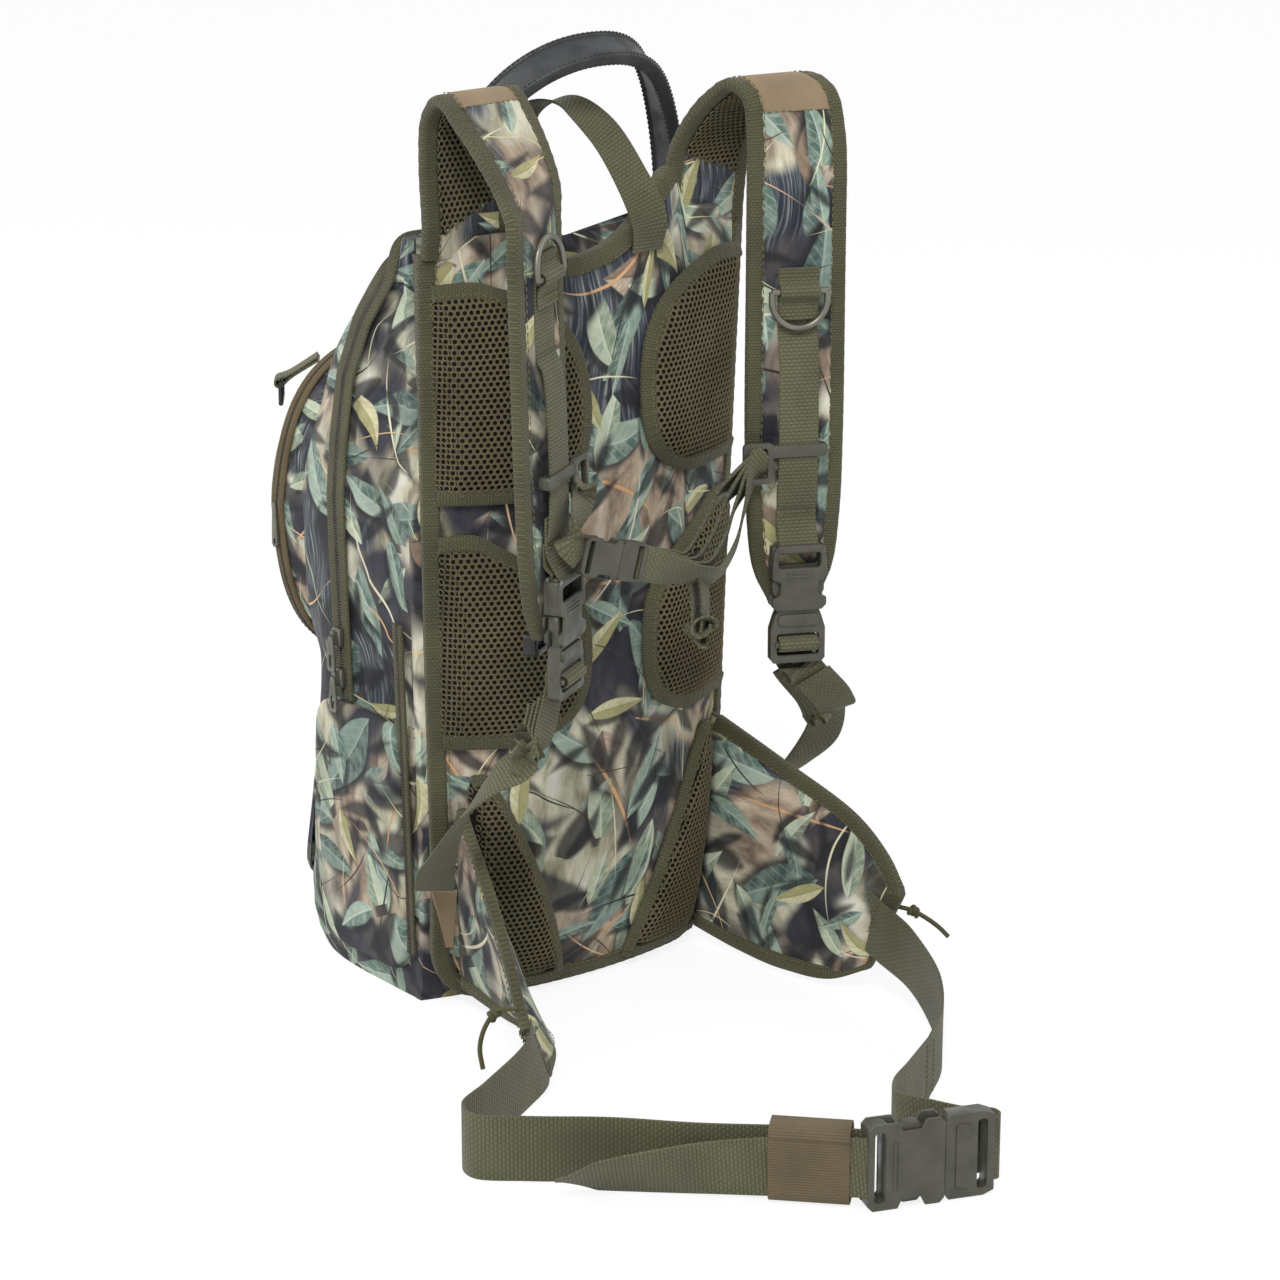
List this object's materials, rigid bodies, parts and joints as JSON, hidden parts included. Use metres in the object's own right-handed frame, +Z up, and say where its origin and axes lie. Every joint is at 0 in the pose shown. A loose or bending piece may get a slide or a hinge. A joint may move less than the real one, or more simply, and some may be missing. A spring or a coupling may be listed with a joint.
{
  "type": "hunting backpack",
  "caption": "Upright day pack in leaf camouflage with mesh back pads, curved shoulder straps, winged hip belt, carry handle, zipped lid and buckles.",
  "frame": {"origin": "on the floor under the middle of the bag base", "axes": "+Z up, -Y toward the wearer's back (harness side), +Y toward the bag front, +X to the right seen from the harness side"},
  "size_m": [0.403, 0.6391, 0.6048],
  "materials": {
    "camo": "printed leaf and bark camouflage cloth",
    "mesh": "open spacer mesh over foam",
    "webbing": "woven olive webbing and grosgrain tape",
    "zip_brown": "brown zip tape",
    "tan": "coyote woven tape",
    "cord": "braided cord",
    "lining": "coated lining cloth",
    "sheet": "stiff plastic sheet",
    "metal": "dull nickel",
    "plastic": "moulded olive-grey nylon",
    "rubber": "ribbed grey rubber"
  },
  "bodies": {
    "pack": {"main_bag": "camo", "back_panel": "camo", "frame_sheet": "sheet", "panel_binding": "webbing", "pad_upper_left": "mesh", "pad_upper_right": "mesh", "pad_middle_left": "mesh", "pad_middle_right": "mesh", "pad_lumbar_left": "mesh", "pad_lumbar_right": "mesh", "hydration_sleeve": "lining", "main_zip_rear": "webbing", "side_pocket_left": "camo", "side_pocket_right": "camo", "lower_pocket": "camo", "haul_loop": "webbing", "base_anchors": "tan", "yoke_left": "camo", "yoke_right": "camo", "adjuster_left": "webbing", "adjuster_right": "webbing", "hip_belt_left": "webbing", "hip_belt_right": "webbing", "hip_belt_end": "webbing", "hip_tail": "webbing", "hip_keeper": "tan", "hip_socket": "plastic"},
    "lid": {"main_lid": "camo", "main_zip_front": "webbing"},
    "front_pocket": {"front_pocket": "camo", "front_zip": "zip_brown", "lash_tab": "webbing"},
    "front_pull": {"front_pull": "metal"},
    "lash_ring": {"lash_ring": "plastic"},
    "lower_pull": {"lower_pull": "zip_brown"},
    "zip_slider_upper": {"zip_slider_upper": "metal"},
    "zip_slider_lower": {"zip_slider_lower": "metal"},
    "zip_pull_upper": {"zip_pull_upper": "metal"},
    "zip_pull_lower": {"zip_pull_lower": "metal"},
    "handle": {"carry_handle": "rubber"},
    "harness": {"strap_left": "camo", "strap_right": "camo", "strap_webbing_left": "webbing", "strap_webbing_right": "webbing", "shoulder_sockets": "plastic", "strap_clips": "plastic"},
    "ring_left": {"d_ring_left": "metal"},
    "ring_right": {"d_ring_right": "metal"},
    "tongue_left": {"shoulder_tongue_left": "plastic"},
    "tongue_right": {"shoulder_tongue_right": "plastic"},
    "sternum": {"sternum_sliders": "metal", "sternum_webbing_left": "webbing", "sternum_webbing_right": "webbing", "sternum_socket": "plastic"},
    "sternum_tongue": {"sternum_tongue": "plastic"},
    "fin_left": {"hip_fin_left": "camo", "fin_cord_left": "cord"},
    "fin_right": {"hip_fin_right": "camo", "fin_cord_right": "cord"},
    "hip_tongue": {"hip_tongue": "plastic"}
  },
  "joints": [
    {"name": "lid_fold", "type": "hinge", "parent": "pack", "child": "lid", "pos_m": [0, 0.07743, 0.172], "axis": [-1, 0, 0], "range_deg": [0, 78]},
    {"name": "front_pocket_fold", "type": "hinge", "parent": "lid", "child": "front_pocket", "pos_m": [0, 0.07949, 0.18], "axis": [-1, 0, 0], "range_deg": [0, 15]},
    {"name": "front_pull_swing", "type": "hinge", "parent": "front_pocket", "child": "front_pull", "pos_m": [-0.0994, 0.10099, 0.29], "axis": [0, 1, 0], "range_deg": [0, 100]},
    {"name": "lash_ring_swing", "type": "hinge", "parent": "front_pocket", "child": "lash_ring", "pos_m": [-0.08184, 0.11758, 0.36498], "axis": [0.5736, 0.8192, 0], "range_deg": [-12, 60]},
    {"name": "lower_pull_swing", "type": "hinge", "parent": "pack", "child": "lower_pull", "pos_m": [-0.072, 0.09598, 0.091], "axis": [1, 0, 0], "range_deg": [0, 100]},
    {"name": "zip_upper_run", "type": "slide", "parent": "pack", "child": "zip_slider_upper", "axis": [-0.0263, 0, 0.9997], "range_m": [0, 0.075]},
    {"name": "zip_lower_run", "type": "slide", "parent": "pack", "child": "zip_slider_lower", "axis": [-0.0263, 0, 0.9997], "range_m": [-0.006, 0.003]},
    {"name": "zip_upper_pull", "type": "hinge", "parent": "zip_slider_upper", "child": "zip_pull_upper", "pos_m": [-0.12435, 0.0004, 0.22778], "axis": [0, 1, 0], "range_deg": [0, 90]},
    {"name": "zip_lower_pull", "type": "hinge", "parent": "zip_slider_lower", "child": "zip_pull_lower", "pos_m": [-0.12364, 0.0004, 0.20079], "axis": [0, 1, 0], "range_deg": [0, 90]},
    {"name": "handle_fold", "type": "hinge", "parent": "pack", "child": "handle", "pos_m": [0, -0.075, 0.4953], "axis": [-1, 0, 0], "range_deg": [0, 60]},
    {"name": "harness_swing", "type": "hinge", "parent": "pack", "child": "harness", "pos_m": [0, -0.142, 0.5705], "axis": [-1, 0, 0], "range_deg": [0, 20], "deforming": ["adjuster_left", "adjuster_right"]},
    {"name": "ring_left_turn", "type": "hinge", "parent": "harness", "child": "ring_left", "pos_m": [-0.0959, -0.1958, 0.48583], "axis": [0.8817, 0.4688, 0.0523], "range_deg": [0, 184]},
    {"name": "ring_right_turn", "type": "hinge", "parent": "harness", "child": "ring_right", "pos_m": [0.09477, -0.19306, 0.452], "axis": [-0.9063, 0.4226, 0], "range_deg": [0, 180]},
    {"name": "buckle_left_release", "type": "slide", "parent": "harness", "child": "tongue_left", "axis": [0.0462, 0.0246, -0.9986], "range_m": [0, 0.036], "deforming": ["adjuster_left"]},
    {"name": "buckle_right_release", "type": "slide", "parent": "harness", "child": "tongue_right", "axis": [0, 0, -1], "range_m": [0, 0.036], "deforming": ["adjuster_right"]},
    {"name": "sternum_height", "type": "slide", "parent": "harness", "child": "sternum", "axis": [-0.02, -0.005, 0.9998], "range_m": [-0.004, 0.036]},
    {"name": "sternum_release", "type": "slide", "parent": "sternum", "child": "sternum_tongue", "axis": [0.965, -0.1014, -0.2419], "range_m": [0, 0.024], "deforming": ["sternum_webbing_right"]},
    {"name": "fin_left_swing", "type": "hinge", "parent": "pack", "child": "fin_left", "pos_m": [-0.0965, -0.09694, 0.077], "axis": [0.0553, 0.0762, -0.9956], "range_deg": [-14, 8], "deforming": ["hip_belt_left"]},
    {"name": "fin_right_swing", "type": "hinge", "parent": "pack", "child": "fin_right", "pos_m": [0.099, -0.09578, 0.085], "axis": [0.0682, -0.0601, 0.9959], "range_deg": [-14, 8], "deforming": ["hip_belt_right"]},
    {"name": "hip_release", "type": "slide", "parent": "pack", "child": "hip_tongue", "axis": [0.9397, -0.342, 0], "range_m": [0, 0.04], "deforming": ["hip_belt_end"]}
  ]
}
